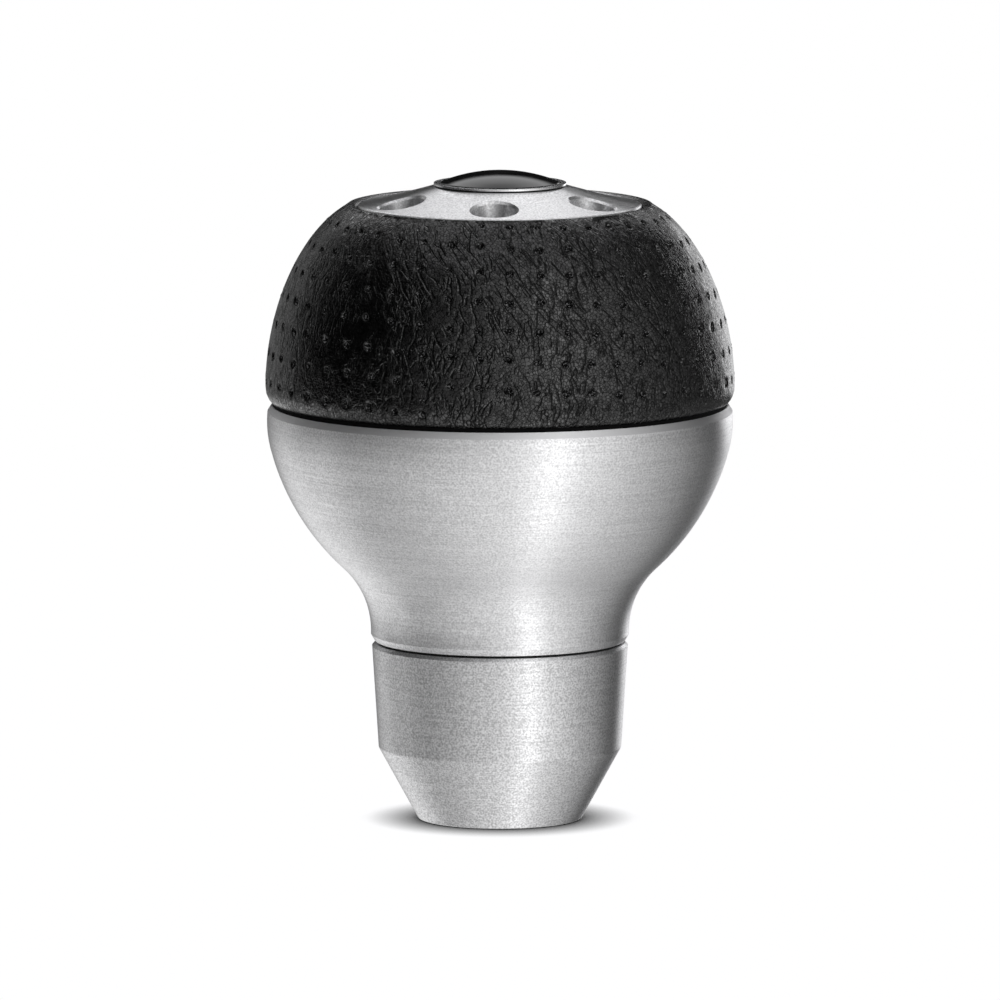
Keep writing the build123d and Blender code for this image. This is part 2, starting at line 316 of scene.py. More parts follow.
screw_thread = make_screw_thread()
collar_thread = grown("collar_thread", screw_thread, {
    "Middle radius": 10.7 * mm,
    "Side": crest_inwards,
    "Pitch": thread_pitch,
    "Turns": 7.0,
    "Start": 8.0 * mm,
    "Root width": 1.1 * mm,
    "Crest width": 0.2 * mm,
    "Depth": 0.8 * mm,
    "Material": collar_aluminium,
})
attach(collar_thread, "collar")


# Collar washer.
# A flat ring of black rubber between collar and body, the dark line at the neck.
# It is stamped from sheet, matt, with a faint bloom where it is handled.
broad_speckle = 12.0
fine_share = 0.6
dull_swing = 0.08


def dull_solid(name, dark, light, roughness, speckle, dent, sheen=0.5):
    """Moulded or stamped solid: two near tones in a fine speckle, with the same speckle as a shallow dent."""
    material, tree, output, place = new_material(name)
    fine = noise(tree, place, scale=speckle, detail=3.0, roughness=0.6)
    broad = noise(tree, place, scale=speckle / broad_speckle)
    both = sums(tree, "MULTIPLY_ADD", fine, fine_share, sums(tree, "MULTIPLY", broad, 1.0 - fine_share))
    tone = spread(tree, both, low=0.35, high=0.65)
    bump = add_node(tree, "ShaderNodeBump", {"Strength": 0.4, "Distance": dent, "Height": fine})
    surface = add_node(tree, "ShaderNodeBsdfPrincipled", {
        "Base Color": blend_colours(tree, tone, grey(dark), grey(light)),
        "Roughness": spread(
            tree, both, low=0.35, high=0.65, to_low=roughness - dull_swing, to_high=roughness + dull_swing
        ),
        "Specular IOR Level": sheen,
        "Normal": bump.outputs[0],
    })
    tree.links.new(surface.outputs[0], output.inputs["Surface"])
    return material


black_rubber = dull_solid(
    "black_rubber", dark=0.008, light=0.016, roughness=0.7, speckle=2500.0, dent=0.02 * mm, sheen=0.2
)
finish_with(knob_nodes["collar_washer"], black_rubber)


# Lower body.
# The grip's metal half, turned from one aluminium bar: a wide bulb on a waisted neck, satin all over.
# Its spigot carries the thread for the collar, which is broken where the three set screws come out.
body_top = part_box("lower_body")[1].z
body_edge = 0.7 * mm
body_aluminium = turned_aluminium(
    "body_aluminium",
    dark=0.68,
    light=0.97,
    roughness=0.42,
    pitch=0.14 * mm,
    ring_share=0.45,
    # The body's top edge, above this height, carries a painted highlight on its rougher cut.
    cut_and_highlight_above=body_top - body_edge,
)
finish_with(knob_nodes["lower_body"], body_aluminium)
first_screw = radians(-90.0)
drill_sides = 32
drill_length = 4.0 * mm
screw_holes = [
    ("Screws", "NodeSocketInt"),
    ("Hole radius", "NodeSocketFloat"),
    ("Hole height", "NodeSocketFloat"),
]


def make_spigot_thread():
    """The thread's ridge with round holes bored through it on the lines of the set screws."""
    tree, given, result = geometry_group("spigot_thread", thread_sizes + screw_holes)
    whole = add_node(
        tree, "GeometryNodeGroup", {label: given[label] for label, _ in thread_sizes}, node_tree=screw_thread
    ).outputs[0]
    ring = add_node(tree, "GeometryNodeMeshCircle", {
        "Vertices": given["Screws"], "Radius": given["Middle radius"],
    }).outputs[0]
    drill = add_node(tree, "GeometryNodeMeshCylinder", {
        "Vertices": drill_sides, "Radius": given["Hole radius"], "Depth": drill_length,
    }).outputs[0]
    outward = add_node(tree, "GeometryNodeInputPosition").outputs[0]
    aim = add_node(tree, "FunctionNodeAlignRotationToVector", {"Vector": outward}, axis="Z").outputs[0]
    drills = add_node(tree, "GeometryNodeInstanceOnPoints", {
        "Points": ring, "Instance": drill, "Rotation": aim,
    }).outputs[0]
    real = add_node(tree, "GeometryNodeRealizeInstances", {"Geometry": drills}).outputs[0]
    placed = add_node(tree, "GeometryNodeTransform", {
        "Geometry": real,
        "Translation": vector_of(tree, Z=given["Hole height"]),
        "Rotation": (0.0, 0.0, first_screw),
    }).outputs[0]
    bored = add_node(tree, "GeometryNodeMeshBoolean", operation="DIFFERENCE", solver="EXACT")
    tree.links.new(whole, bored.inputs["Mesh 1"])
    tree.links.new(placed, bored.inputs["Mesh 2"])
    end_tree(tree, bored.outputs[0], given["Material"], result)
    return tree


spigot_thread = grown("spigot_thread", make_spigot_thread(), {
    "Middle radius": 10.5 * mm,
    "Side": crest_outwards,
    "Pitch": thread_pitch,
    "Turns": 6.5,
    "Start": 8.75 * mm,
    "Root width": 1.25 * mm,
    "Crest width": 0.25 * mm,
    "Depth": 0.9 * mm,
    "Material": body_aluminium,
    "Screws": 3,
    "Hole radius": 2.6 * mm,
    "Hole height": 14.0 * mm,
})
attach(spigot_thread, "knob")


# Lever sleeve.
# A split nylon sleeve in the body's bore, moulded black, that the set screws close on the gear lever.
sleeve_nylon = dull_solid(
    "sleeve_nylon", dark=0.03, light=0.055, roughness=0.5, speckle=1800.0, dent=0.015 * mm
)
finish_with(knob_nodes["lever_sleeve"], sleeve_nylon)


# Set screws.
# Three hexagon socket set screws of blackened steel, screwed through the spigot onto the sleeve.
fine_wear = 6.0
wear_depth = 0.01 * mm
wear_swing = 0.1


def worn_metal(name, dark, light, roughness, scale):
    """Blackened or plated metal: even tone with paler, smoother spots where it has rubbed."""
    material, tree, output, place = new_material(name)
    blotches = noise(tree, place, scale=scale, detail=4.0, roughness=0.65)
    rubbed = spread(tree, blotches, low=0.45, high=0.7)
    fine = noise(tree, place, scale=scale * fine_wear)
    bump = add_node(tree, "ShaderNodeBump", {"Strength": 0.2, "Distance": wear_depth, "Height": fine})
    surface = add_node(tree, "ShaderNodeBsdfPrincipled", {
        "Base Color": blend_colours(tree, rubbed, grey(dark), grey(light)),
        "Metallic": 1.0,
        "Roughness": spread(
            tree, rubbed, low=0.0, high=1.0, to_low=roughness + wear_swing, to_high=roughness - wear_swing
        ),
        "Normal": bump.outputs[0],
    })
    tree.links.new(surface.outputs[0], output.inputs["Surface"])
    return material


screw_steel = worn_metal("screw_steel", dark=0.1, light=0.22, roughness=0.4, scale=900.0)
finish_with(knob_nodes["set_screws"], screw_steel)


# Head core.
# The moulded plastic core under the leather, dull black.
# It is screwed down on the body, and its foot plate shows as the dark seam above it.
core_plastic = dull_solid(
    "core_plastic", dark=0.003, light=0.006, roughness=0.8, speckle=1500.0, dent=0.02 * mm, sheen=0.05
)
finish_with(knob_nodes["head_core"], core_plastic)


# Leather cover.
# One band of black grained leather, punched flat with rows of small holes and pulled over the core.
# Its lower edge rolls under above the seam, and its upper edge is tucked down beside the ring.
leather_low, leather_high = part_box("leather_cover")
leather_radius = leather_high.x
leather_foot = leather_low.z
leather_thickness = 1.2 * mm
ring_radius = 15.8 * mm
roll_radius = 2.2 * mm
roll_sweep = radians(45.0)
roll_height = leather_foot + roll_radius * sin(roll_sweep)
roll_steps = 13
turn_in = 3.2 * mm
side_pull = 9.7 * mm
side_steps = 241
top_pull = 5.8 * mm
top_slope = radians(18.1)
top_corner = leather_foot + 22.3 * mm
tuck_round = 0.8 * mm
tuck_depth = 2.6 * mm
tuck_steps = 13


def cover_outline():
    """Radius, height and outward direction along the cover, with the distance from where its side begins."""
    roll = [
        (leather_radius - roll_radius + roll_radius * cos(angle), roll_height - roll_radius * sin(angle))
        for angle in np.linspace(roll_sweep, 0.0, roll_steps)
    ]
    foot = [(roll[0][0] - turn_in, leather_foot)]
    pulls = np.array([
        (leather_radius, roll_height),
        (leather_radius, roll_height + side_pull),
        (ring_radius + top_pull * cos(top_slope), top_corner - top_pull * sin(top_slope)),
        (ring_radius, top_corner),
    ])
    half_corner = (pi / 2 - top_slope) / 2
    setback = tuck_round * cos(half_corner) / sin(half_corner)
    side = []
    for t in np.linspace(0.0, 1.0, side_steps)[1:]:
        shares = ((1 - t) ** 3, 3 * t * (1 - t) ** 2, 3 * t ** 2 * (1 - t), t ** 3)
        point = shares @ pulls
        if np.hypot(*(point - pulls[-1])) > setback:
            side.append(tuple(point))
    middle = (ring_radius + tuck_round, top_corner - setback)
    tuck = [
        (middle[0] + tuck_round * cos(angle), middle[1] + tuck_round * sin(angle))
        for angle in np.linspace(pi / 2 - top_slope, pi, tuck_steps)
    ]
    wall = [(ring_radius, middle[1] - tuck_depth)]
    points = np.array(foot + roll + side + tuck + wall)
    steps = np.diff(points, axis=0)
    along = np.concatenate(([0.0], np.cumsum(np.hypot(*steps.T))))
    along -= along[len(foot) + len(roll) - 1]
    slopes = np.gradient(points, along, axis=0)
    slopes /= np.hypot(*slopes.T)[:, None]
    marks = {
        "foot end": along[0],
        "roll start": along[len(foot)],
        "tuck start": along[len(foot) + len(roll) + len(side)],
        "tuck end": along[-2],
        "wall end": along[-1],
    }
    return along, points, np.stack((slopes[:, 1], -slopes[:, 0]), axis=1), marks


along_cover, cover_points, cover_outward, cover_marks = cover_outline()
hole_columns = 48
hole_rows = 10
flat_radius = 24.0 * mm
cell_width = 2 * pi * flat_radius / hole_columns
cell_height = 3.28 * mm
cell_sides = 16


def leather_cell(name, rings):
    """Square of leather in the flat; rings of (radius, height, hold, pit) run inwards to a closed middle."""
    cell = bmesh.new()
    hold = cell.verts.layers.float.new("hold")
    pit = cell.verts.layers.float.new("pit")
    corners = [(1, -1), (1, 1), (-1, 1), (-1, -1)]
    loops = [[]]
    for step in range(cell_sides):
        side, share = divmod(step, cell_sides // 4)
        start, end = Vector(corners[side]), Vector(corners[(side + 1) % 4])
        edge = start.lerp(end, share * 4 / cell_sides)
        loops[0].append(cell.verts.new((edge.x * cell_width / 2, edge.y * cell_height / 2, 0.0)))
    for radius, height, held, dark in rings:
        loop = []
        for step in range(cell_sides):
            angle = -pi / 4 + 2 * pi * step / cell_sides
            loop.append(cell.verts.new((radius * cos(angle), radius * sin(angle), height)))
            loop[-1][hold] = held
            loop[-1][pit] = dark
        loops.append(loop)
    for outer, inner in zip(loops, loops[1:]):
        for step in range(cell_sides):
            ahead = (step + 1) % cell_sides
            cell.faces.new((outer[step], outer[ahead], inner[ahead], inner[step]))
    cell.faces.new(loops[-1])
    mesh = bpy.data.meshes.new(name)
    cell.to_mesh(mesh)
    cell.free()
    return bpy.data.objects.new(name, mesh)


punched_cell = leather_cell("punched_cell", [
    (1.05 * mm, 0.0, 0.5, 0.0),
    (0.6 * mm, 0.0, 1.0, 0.0),
    (0.48 * mm, -0.02 * mm, 1.0, 0.3),
    (0.38 * mm, -0.12 * mm, 1.0, 0.9),
    (0.26 * mm, -0.3 * mm, 1.0, 1.0),
    (0.12 * mm, -0.36 * mm, 1.0, 1.0),
])
plain_cell = leather_cell("plain_cell", [(1.05 * mm, 0.0, 0.0, 0.0), (0.5 * mm, 0.0, 0.0, 0.0)])


def random_value(tree, kind, low, high, seed):
    """Random value or vector for each point, the same on every run."""
    made = add_node(tree, "FunctionNodeRandomValue", data_type=kind)
    ending = {"FLOAT": "_001", "FLOAT_VECTOR": ""}[kind]
    sockets = {socket.identifier: socket for socket in made.inputs}
    if kind == "FLOAT_VECTOR":
        low, high = (low, low, low), (high, high, high)
    sockets["Min" + ending].default_value = low
    sockets["Max" + ending].default_value = high
    tree.links.new(seed, sockets["Seed"])
    return next(socket for socket in made.outputs if socket.identifier == "Value" + ending)


def kept_value(tree, label, kind):
    """Value that an earlier node has kept on the points under this name."""
    return add_node(tree, "GeometryNodeInputNamedAttribute", {"Name": label}, data_type=kind).outputs[0]


smallest_hole = 0.85
largest_hole = 1.15
hole_shift = 0.12 * mm
hole_tear = 0.07 * mm
cell_weld = 0.001 * mm
in_the_flat = (1.0, 1.0, 0.0)


def make_punched_leather():
    """Flat band of leather cells, with holes between two edges and the whole band drawn out of square."""
    tree, given, result = geometry_group("punched_leather", [
        ("Punched", "NodeSocketObject"),
        ("Plain", "NodeSocketObject"),
        ("Columns", "NodeSocketInt"),
        ("Rows", "NodeSocketInt"),
        ("Cell width", "NodeSocketFloat"),
        ("Cell height", "NodeSocketFloat"),
        ("First row", "NodeSocketFloat"),
        ("Low edge", "NodeSocketFloat"),
        ("High edge", "NodeSocketFloat"),
        ("Tilt", "NodeSocketFloat"),
        ("Pinch start", "NodeSocketFloat"),
        ("Pinch low", "NodeSocketFloat"),
        ("Pinch high", "NodeSocketFloat"),
        ("Seed", "NodeSocketInt"),
        ("Material", "NodeSocketMaterial"),
    ])
    last_column = sums(tree, "SUBTRACT", given["Columns"], 1.0)
    last_row = sums(tree, "SUBTRACT", given["Rows"], 1.0)
    tall = sums(tree, "MULTIPLY", last_row, given["Cell height"])
    middles = add_node(tree, "GeometryNodeMeshGrid", {
        "Size X": sums(tree, "MULTIPLY", last_column, given["Cell width"]),
        "Size Y": tall,
        "Vertices X": given["Columns"],
        "Vertices Y": given["Rows"],
    }).outputs[0]
    lift = vector_of(tree, Y=sums(tree, "MULTIPLY_ADD", tall, 0.5, given["First row"]))
    points = add_node(tree, "GeometryNodeTransform", {"Geometry": middles, "Translation": lift}).outputs[0]
    place = add_node(tree, "GeometryNodeInputPosition").outputs[0]
    apart = parts_of(tree, place)
    wide = sums(tree, "MULTIPLY", given["Columns"], given["Cell width"])
    wave = sums(tree, "SINE", sums(tree, "MULTIPLY", sums(tree, "DIVIDE", apart["X"], wide), 2 * pi))
    drop = sums(tree, "MULTIPLY", wave, given["Tilt"])
    tilted = sums(tree, "SUBTRACT", apart["Y"], drop)
    above = sums(tree, "GREATER_THAN", tilted, given["Low edge"])
    below = sums(tree, "LESS_THAN", tilted, given["High edge"])
    inside = sums(tree, "MULTIPLY", above, below)
    outside = sums(tree, "SUBTRACT", 1.0, inside)
    kept = points
    for label, kind, value in (
        ("middle", "FLOAT_VECTOR", place),
        ("size", "FLOAT", random_value(tree, "FLOAT", smallest_hole, largest_hole, given["Seed"])),
        ("shift", "FLOAT_VECTOR", random_value(tree, "FLOAT_VECTOR", -hole_shift, hole_shift, given["Seed"])),
    ):
        kept = add_node(tree, "GeometryNodeStoreNamedAttribute", {
            "Geometry": kept, "Name": label, "Value": value,
        }, data_type=kind).outputs[0]
    joined = tree.nodes.new("GeometryNodeJoinGeometry")
    for shape, chosen in (("Punched", inside), ("Plain", outside)):
        cell = add_node(tree, "GeometryNodeObjectInfo", {"Object": given[shape]}).outputs["Geometry"]
        cells = add_node(tree, "GeometryNodeInstanceOnPoints", {
            "Points": kept, "Selection": chosen, "Instance": cell,
        }).outputs[0]
        tree.links.new(cells, joined.inputs[0])
    real = add_node(tree, "GeometryNodeRealizeInstances", {"Geometry": joined.outputs[0]}).outputs[0]
    welded = add_node(tree, "GeometryNodeMergeByDistance", {
        "Geometry": real, "Distance": cell_weld,
    }).outputs[0]
    away = vectors(tree, "SUBTRACT", place, kept_value(tree, "middle", "FLOAT_VECTOR"))
    grown_by = sums(tree, "SUBTRACT", kept_value(tree, "size", "FLOAT"), 1.0)
    grow = vectors(tree, "SCALE", away, scale=grown_by)
    shift = vectors(tree, "MULTIPLY", kept_value(tree, "shift", "FLOAT_VECTOR"), in_the_flat)
    move = vectors(tree, "ADD", grow, shift)
    held = vectors(tree, "SCALE", move, scale=kept_value(tree, "hold", "FLOAT"))
    tear = random_value(tree, "FLOAT_VECTOR", -hole_tear, hole_tear, given["Seed"])
    torn = vectors(
        tree, "SCALE", tear, scale=spread(tree, kept_value(tree, "pit", "FLOAT"), low=0.0, high=0.2)
    )
    uneven = add_node(tree, "GeometryNodeSetPosition", {
        "Geometry": welded, "Offset": vectors(tree, "ADD", held, torn),
    }).outputs[0]
    pinch = spread(
        tree,
        tilted,
        low=given["Pinch start"],
        high=given["High edge"],
        to_low=given["Pinch low"],
        to_high=given["Pinch high"],
    )
    pull = vector_of(
        tree, X=sums(tree, "MULTIPLY", wave, pinch), Y=sums(tree, "MULTIPLY", drop, -1.0)
    )
    drawn = add_node(tree, "GeometryNodeSetPosition", {"Geometry": uneven, "Offset": pull}).outputs[0]
    end_tree(tree, drawn, given["Material"], result)
    return tree


creased_spot = (2.0 * mm, -24.0 * mm, 57.0 * mm)
creased_reach = 29.0 * mm
creased_core = 12.0 * mm
crease_step = 0.1 * mm
crease_half_width = 0.1 * mm
crease_dark_width = 0.03 * mm
fold_half_width = 0.26 * mm
least_steepness = 0.008
# Two sets of creases cross: how each leans and bends up the hide, how fine and how short its lines are,
# and where it starts in the noise.
crease_sets = (
    {"lean": 4.0, "bend": 812.5, "scale": 640.0, "stretch": 0.36, "start": 4.0},
    {"lean": -12.0, "bend": 500.0, "scale": 720.0, "stretch": 0.44, "start": -12.0},
)


def crease_masks(tree, place):
    """Masks of the creases: their dark lines, and the wider folds that these lie in."""
    along = add_node(tree, "ShaderNodeAttribute", attribute_name="along").outputs["Fac"]
    apart = parts_of(tree, place)
    facing = vectors(tree, "NORMALIZE", vector_of(tree, X=apart["X"], Y=apart["Y"]))
    hide = vectors(tree, "SCALE", facing, scale=flat_radius)
    near = vectors(tree, "DISTANCE", place, creased_spot)
    patches = noise(tree, place, scale=60.0, detail=1.0)
    creased = sums(
        tree,
        "MAXIMUM",
        spread(tree, near, low=creased_reach, high=creased_core),
        spread(tree, patches, low=0.5, high=0.62, to_low=0.12, to_high=0.6),
    )
    lines, folds = [], []
    for crease in crease_sets:
        bent = sums(tree, "MULTIPLY_ADD", along, crease["bend"], crease["lean"])
        lean = sums(tree, "MULTIPLY", bent, along)
        drawn = vector_of(tree, Z=sums(tree, "MULTIPLY_ADD", along, crease["stretch"], crease["start"]))
        levels = []
        for angle in (lean, sums(tree, "ADD", lean, crease_step / flat_radius)):
            leaning = add_node(tree, "ShaderNodeVectorRotate", {
                "Vector": hide, "Angle": angle,
            }, rotation_type="Z_AXIS").outputs[0]
            wrinkled = noise(tree, vectors(tree, "ADD", leaning, drawn), scale=crease["scale"])
            levels.append(sums(tree, "SUBTRACT", wrinkled, 0.5))
        steepness = sums(tree, "ABSOLUTE", sums(tree, "SUBTRACT", levels[1], levels[0]))
        kept_steepness = sums(tree, "MAXIMUM", steepness, least_steepness)
        steps_off = sums(tree, "DIVIDE", sums(tree, "ABSOLUTE", levels[0]), kept_steepness)
        away = sums(tree, "MULTIPLY", steps_off, crease_step)
        gaps = noise(tree, place, scale=0.5 * crease["scale"], detail=0.0)
        strength = sums(tree, "MULTIPLY", creased, spread(tree, gaps, low=0.36, high=0.54))
        line = spread(tree, away, low=crease_half_width, high=crease_dark_width)
        fold = spread(tree, away, low=fold_half_width, high=0.0)
        lines.append(sums(tree, "MULTIPLY", strength, line))
        folds.append(sums(tree, "MULTIPLY", strength, fold))
    return sums(tree, "MAXIMUM", *lines), sums(tree, "MAXIMUM", *folds)


grain_scale = 2800.0
jitter_scale = 2400.0
grain_jitter = 0.3 * mm


def leather_grains(tree, place):
    """Fine grain of the hide: how far each grain stands out of its grooves, and a tone for each grain."""
    jitter = add_node(tree, "ShaderNodeTexNoise", {
        "Vector": place, "Scale": jitter_scale, "Detail": 1.0,
    }).outputs["Color"]
    shaken = vectors(tree, "ADD", place, vectors(tree, "SCALE", jitter, scale=grain_jitter))
    cells = {"Vector": shaken, "Scale": grain_scale}
    grooves = add_node(tree, "ShaderNodeTexVoronoi", cells, feature="DISTANCE_TO_EDGE").outputs["Distance"]
    grains = add_node(tree, "ShaderNodeTexVoronoi", cells, feature="F1").outputs["Color"]
    return spread(tree, grooves, low=0.02, high=0.14), parts_of(tree, grains)["X"]


crease_depth = 6.5
grain_depth = 0.011 * mm
swell_scale = 900.0
swell_height = 5.0
fibre_and_glint_scale = 4600.0
groove_painted_shade = 0.0006
grain_dark = 0.002
hide_dark = 0.001
fibre_and_glint_tone = 0.2


def make_leather():
    """Black leather whose lacquer is worn off between the grains, in the creases and in the holes, with
    painted shade in the grooves and creases and painted glints in the holes.
    """
    material, tree, output, place = new_material("leather")
    pit = add_node(tree, "ShaderNodeAttribute", attribute_name="pit").outputs["Fac"]
    line, fold = crease_masks(tree, place)
    raised, tone = leather_grains(tree, place)
    swell = noise(tree, place, scale=swell_scale, detail=1.0)
    swollen = sums(tree, "MULTIPLY_ADD", swell, swell_height, raised)
    height = sums(tree, "MULTIPLY_ADD", fold, -crease_depth, swollen)
    # Pale specks in the holes: torn fibre ends, and painted glints where the holes catch light.
    fibres_and_glints = spread(tree, noise(tree, place, scale=fibre_and_glint_scale, detail=1.0), low=0.55, high=0.63)
    torn = sums(tree, "MULTIPLY", spread(tree, pit, low=0.5, high=0.9), fibres_and_glints)
    # Crease lines and holes lose their lacquer; on the crease lines this darkening is also painted shade.
    bare_and_painted_shade = sums(tree, "MAXIMUM", line, pit)
    # Painted shade: the grooves between the grains are coloured darker than the grain tops.
    colour = blend_colours(tree, raised, grey(groove_painted_shade), grey(grain_dark))
    for mask, shade in ((bare_and_painted_shade, hide_dark), (torn, fibre_and_glint_tone)):
        colour = blend_colours(tree, mask, colour, grey(shade))
    polish = sums(
        tree, "MULTIPLY", raised, spread(tree, tone, low=0.0, high=1.0, to_low=0.35, to_high=0.85)
    )
    bump = add_node(tree, "ShaderNodeBump", {"Strength": 1.0, "Distance": grain_depth, "Height": height})
    surface = add_node(tree, "ShaderNodeBsdfPrincipled", {
        "Base Color": colour,
        "Roughness": spread(tree, bare_and_painted_shade, low=0.0, high=1.0, to_low=0.2, to_high=0.5),
        "Specular IOR Level": 0.12,
        "Coat Weight": sums(tree, "MULTIPLY", polish, sums(tree, "SUBTRACT", 1.0, bare_and_painted_shade)),
        "Coat Roughness": 0.1,
        "Coat IOR": 1.9,
        "Normal": bump.outputs[0],
        "Coat Normal": bump.outputs[0],
    })
    tree.links.new(surface.outputs[0], output.inputs["Surface"])
    return material


leather_cover = grown("leather_wrap", make_punched_leather(), {
    "Punched": punched_cell,
    "Plain": plain_cell,
    "Columns": hole_columns,
    "Rows": hole_rows,
    "Cell width": cell_width,
    "Cell height": cell_height,
    "First row": -cell_height - 0.5 * mm,
    "Low edge": -0.1 * mm,
    "High edge": cover_marks["tuck start"] - 0.7 * mm,
    "Tilt": 1.5 * mm,
    "Pinch start": 5.0 * mm,
    "Pinch low": -0.06 * flat_radius,
    "Pinch high": 0.32 * flat_radius,
    "Seed": 7,
    "Material": make_leather(),
})
first_column = radians(-1.6)
foot_trim = 0.4 * mm
on_the_cut = 0.0001 * mm
tuck_stops = 9
lining_back = 2.0 * mm
low_lining = 0.4
high_lining = 0.6
seam_weld = 0.002 * mm


def trim_band(skin, level, way):
    """Cuts the flat band straight across at a level and drops what is past the cut."""
    every = skin.verts[:] + skin.edges[:] + skin.faces[:]
    bmesh.ops.bisect_plane(
        skin, geom=every, plane_co=(0.0, level, 0.0), plane_no=(0.0, way, 0.0), clear_outer=True
    )


def turn_edge_in(skin, level, stops):
    """Carries the band on from a cut edge, through stops of (distance along the outline, height)."""
    rim = [
        edge for edge in skin.edges
        if edge.is_boundary and all(abs(vert.co.y - level) < on_the_cut for vert in edge.verts)
    ]
    for along, height in stops:
        carried = bmesh.ops.extrude_edge_only(skin, edges=rim)["geom"]
        fresh = set(carried)
        rim = [
            part for part in carried
            if isinstance(part, bmesh.types.BMEdge) and part.is_boundary and fresh.issuperset(part.verts)
        ]
        for vert in {vert for edge in rim for vert in edge.verts}:
            vert.co.y, vert.co.z = along, height


def wrap_round_core(skin):
    """Bends the flat band round the core, along the cover's outline."""
    along_hide = skin.verts.layers.float.new("along")
    for vert in skin.verts:
        around, along, height = vert.co
        vert[along_hide] = along
        angle = around / flat_radius + first_column
        radius, level = (
            np.interp(along, along_cover, cover_points[:, axis])
            + height * np.interp(along, along_cover, cover_outward[:, axis])
            for axis in (0, 1)
        )
        vert.co = (radius * sin(angle), -radius * cos(angle), level)


def pull_over_core(cover):
    """Trims the flat band, turns its edges in, and wraps it round the core as one closed skin."""
    skin = bmesh.new()
    skin.from_mesh(cover.data)
    low_cut = cover_marks["roll start"] + foot_trim
    high_cut = cover_marks["tuck start"]
    trim_band(skin, low_cut, way=-1.0)
    trim_band(skin, high_cut, way=1.0)
    inner = -leather_thickness
    turn_edge_in(skin, low_cut, [
        (cover_marks["roll start"], 0.0),
        (cover_marks["foot end"], 0.0),
        (cover_marks["foot end"], inner),
        (cover_marks["roll start"], inner),
        (0.0, inner),
        (high_cut * low_lining, inner),
    ])
    round_the_tuck = np.linspace(cover_marks["tuck start"], cover_marks["tuck end"], tuck_stops)[1:]
    turn_edge_in(skin, high_cut, [(stop, 0.0) for stop in round_the_tuck] + [
        (cover_marks["wall end"], 0.0),
        (cover_marks["wall end"], inner),
        (high_cut - lining_back, inner),
        (high_cut * high_lining, inner),
    ])
    wrap_round_core(skin)
    bmesh.ops.remove_doubles(skin, verts=skin.verts[:], dist=seam_weld)
    bmesh.ops.bridge_loops(skin, edges=[edge for edge in skin.edges if edge.is_boundary])
    bmesh.ops.recalc_face_normals(skin, faces=skin.faces[:])
    skin.to_mesh(cover.data)
    skin.free()
    cover.data.shade_smooth()


pull_over_core(leather_cover)
for cell in (punched_cell, plain_cell):
    bpy.data.objects.remove(cell)
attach(leather_cover, "knob")
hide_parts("leather_cover")


# Top ring.
# A crowned aluminium ring, turned bright and drilled with six plain holes whose mouths are broken.
ring_aluminium = turned_aluminium(
    "ring_aluminium", dark=0.7, light=0.97, roughness=0.34, pitch=0.12 * mm, ring_share=0.25
)
finish_with(knob_nodes["top_ring"], ring_aluminium)


# Centre screw.
# A button head screw of blackened steel under the badge, which clamps ring, core and body together.
finish_with(knob_nodes["centre_screw"], screw_steel)


# Badge.
# A bright flanged bezel on a thin black seal, filled with a dome of clear resin over a plain black face.
rim_aluminium = turned_aluminium(
    "rim_aluminium", dark=0.82, light=0.95, roughness=0.25, pitch=0.1 * mm, ring_share=0.5, stretch=0.5
)
finish_with(knob_nodes["badge_seal"], black_rubber)
finish_with(knob_nodes["badge_rim"], rim_aluminium)
resin_dark = 0.003
resin_light = 0.008
ripple_depth = 0.02 * mm


def make_badge_resin():
    """Black gloss resin: an even black with faint cloudiness and a slightly rippled surface."""
    material, tree, output, place = new_material("badge_black")
    cloud = noise(tree, place, scale=400.0, detail=3.0)
    ripple = noise(tree, place, scale=150.0, detail=1.0)
    tone = spread(tree, cloud, low=0.35, high=0.65)
    bump = add_node(tree, "ShaderNodeBump", {"Strength": 0.05, "Distance": ripple_depth, "Height": ripple})
    surface = add_node(tree, "ShaderNodeBsdfPrincipled", {
        "Base Color": blend_colours(tree, tone, grey(resin_dark), grey(resin_light)),
        "Roughness": spread(tree, cloud, low=0.3, high=0.7, to_low=0.06, to_high=0.12),
        "Specular IOR Level": 0.2,
        "Normal": bump.outputs[0],
    })
    tree.links.new(surface.outputs[0], output.inputs["Surface"])
    return material


finish_with(knob_nodes["badge_dome"], make_badge_resin())


# Studio.
# A pale table inside a round light tent that is bright to the right of the camera and dim on the left.
# The camera looks through the tent's skin at a white world, with a long lens a little above the knob.
scene = bpy.context.scene
scene.view_settings.view_transform = "Standard"
table_radius = 0.3
table_drop = 0.05 * mm
table_pale = 0.8
shadow_reach = 6.5 * mm
shadow_dark = 0.01


def stage_mesh(name, make, **sizes):
    """Stage object from one of bmesh's own forms."""
    form = bmesh.new()
    make(form, **sizes)
    mesh = bpy.data.meshes.new(name)
    form.to_mesh(mesh)
    form.free()
    piece = bpy.data.objects.new(name, mesh)
    scene.collection.objects.link(piece)
    return piece


